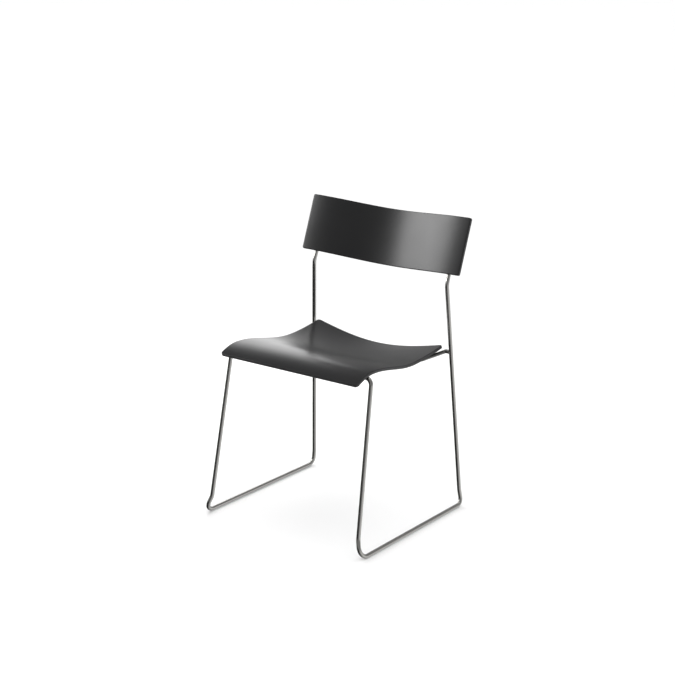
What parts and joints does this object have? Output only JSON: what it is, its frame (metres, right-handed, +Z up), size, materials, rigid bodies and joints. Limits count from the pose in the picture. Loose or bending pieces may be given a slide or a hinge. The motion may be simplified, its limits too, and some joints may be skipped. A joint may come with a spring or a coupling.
{
  "type": "stacking chair",
  "caption": "Armless stacking chair: dished black seat shell and bowed black back panel on a bent steel-rod sled frame.",
  "frame": {"origin": "middle of the chair's box at floor level", "axes": "+Z up; the sitter faces -Y; left (-X) and right (+X) are as seen from the front"},
  "size_m": [0.5128, 0.4976, 0.8018],
  "materials": {
    "black_shell": "black satin lacquer on moulded plywood",
    "satin_rod": "satin nickel plate",
    "zinc_screw": "zinc plate",
    "brass_insert": "plain turned brass"
  },
  "bodies": {
    "root": {"back_bracket_left": "satin_rod", "back_bracket_right": "satin_rod", "back_left_lower_insert": "brass_insert", "back_left_lower_screw": "zinc_screw", "back_left_upper_insert": "brass_insert", "back_left_upper_screw": "zinc_screw", "back_panel": "black_shell", "back_right_lower_insert": "brass_insert", "back_right_lower_screw": "zinc_screw", "back_right_upper_insert": "brass_insert", "back_right_upper_screw": "zinc_screw", "front_crossbar": "satin_rod", "rear_crossbar": "satin_rod", "seat_front_left_inner_insert": "brass_insert", "seat_front_left_inner_screw": "zinc_screw", "seat_front_left_outer_insert": "brass_insert", "seat_front_left_outer_screw": "zinc_screw", "seat_front_right_inner_insert": "brass_insert", "seat_front_right_inner_screw": "zinc_screw", "seat_front_right_outer_insert": "brass_insert", "seat_front_right_outer_screw": "zinc_screw", "seat_rear_left_inner_insert": "brass_insert", "seat_rear_left_inner_screw": "zinc_screw", "seat_rear_left_outer_insert": "brass_insert", "seat_rear_left_outer_screw": "zinc_screw", "seat_rear_right_inner_insert": "brass_insert", "seat_rear_right_inner_screw": "zinc_screw", "seat_rear_right_outer_insert": "brass_insert", "seat_rear_right_outer_screw": "zinc_screw", "seat_shell": "black_shell", "seat_tab_front_left": "satin_rod", "seat_tab_front_right": "satin_rod", "seat_tab_rear_left": "satin_rod", "seat_tab_rear_right": "satin_rod", "side_rod_left": "satin_rod", "side_rod_right": "satin_rod"}
  },
  "joints": []
}
